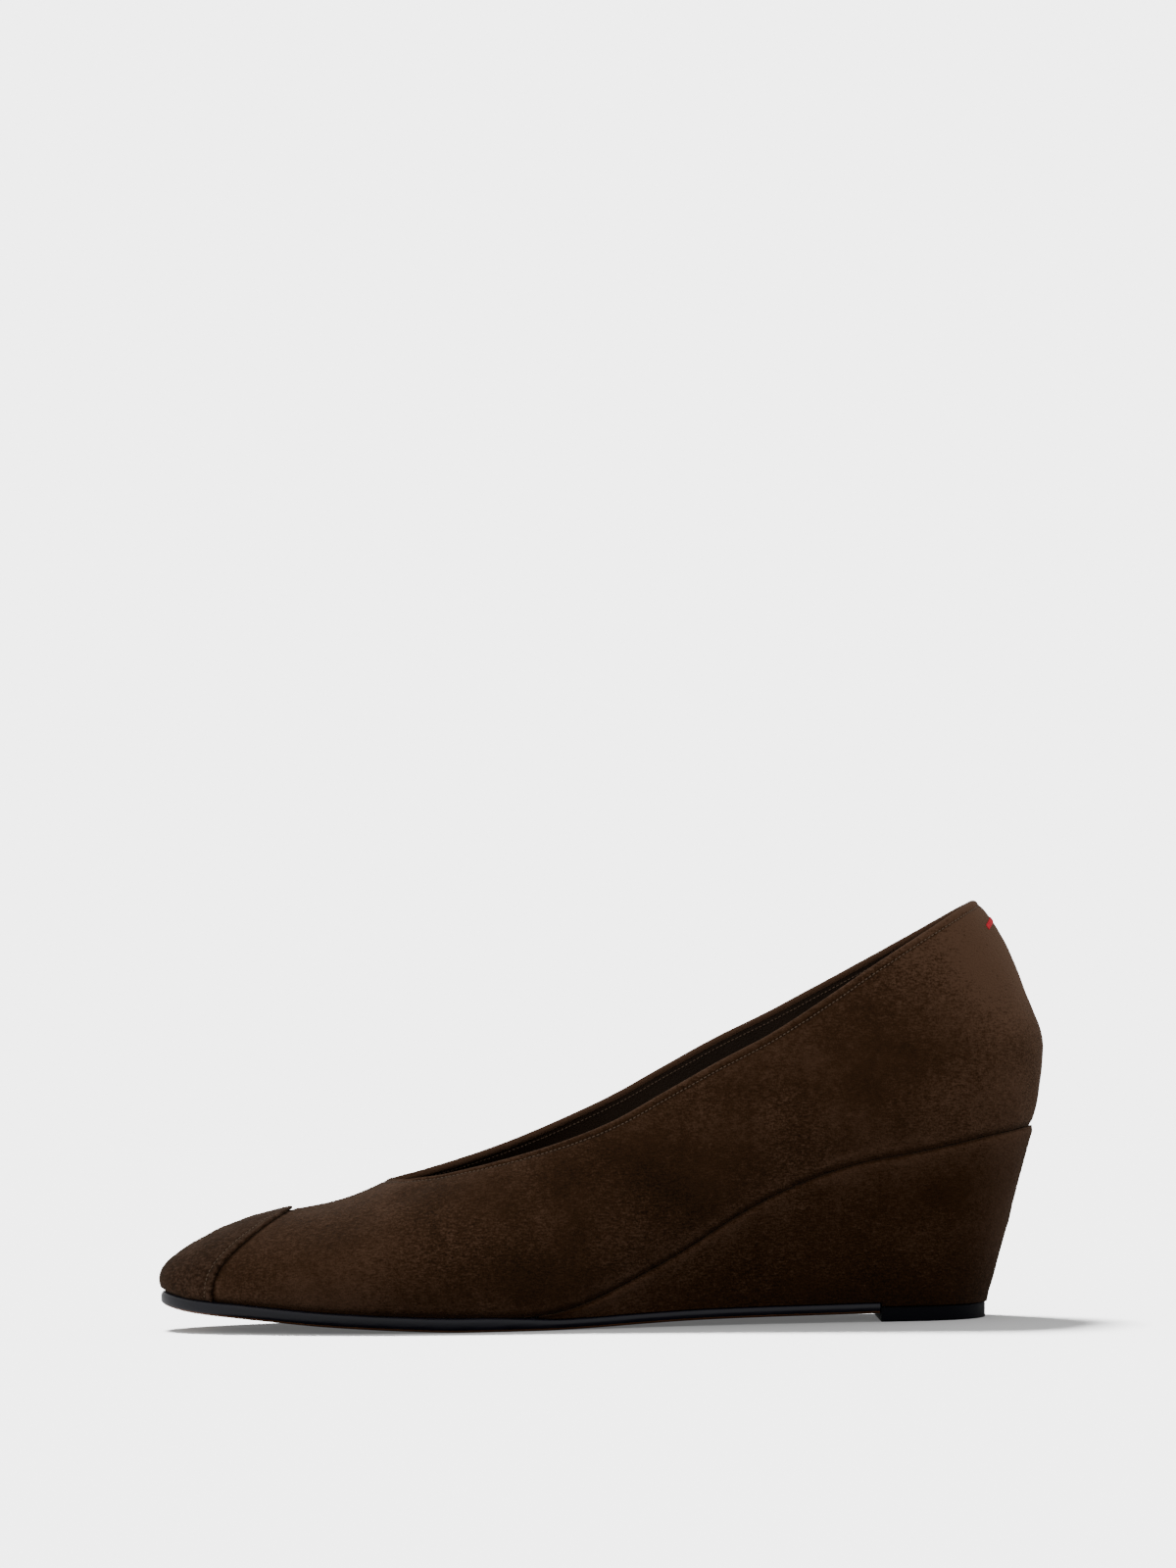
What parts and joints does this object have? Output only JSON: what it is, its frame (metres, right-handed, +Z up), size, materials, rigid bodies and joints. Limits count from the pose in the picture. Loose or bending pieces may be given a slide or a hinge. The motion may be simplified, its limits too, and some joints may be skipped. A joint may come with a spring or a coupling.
{
  "type": "wedge pump",
  "caption": "Left suede wedge pump with a low-cut hollow upper, lapped toe cap, covered wedge and thin sole.",
  "frame": {"origin": "middle of the shoe's length and width, on the floor it stands on", "axes": "+X towards the heel, -X towards the toe, -Y towards the outer (lateral) side, +Z up"},
  "size_m": [0.2501, 0.0827, 0.1172],
  "materials": {
    "brown_suede": "suede nap",
    "toe_cap_suede": "rough suede nap",
    "wedge_suede": "suede nap",
    "insole_leather": "matte",
    "sole_edge_black": "satin",
    "top_piece_rubber": "matte"
  },
  "bodies": {
    "root": {"upper": "brown_suede", "toe_cap": "toe_cap_suede", "insole": "insole_leather", "outsole": "sole_edge_black", "wedge": "wedge_suede", "top_piece": "top_piece_rubber"}
  },
  "joints": []
}
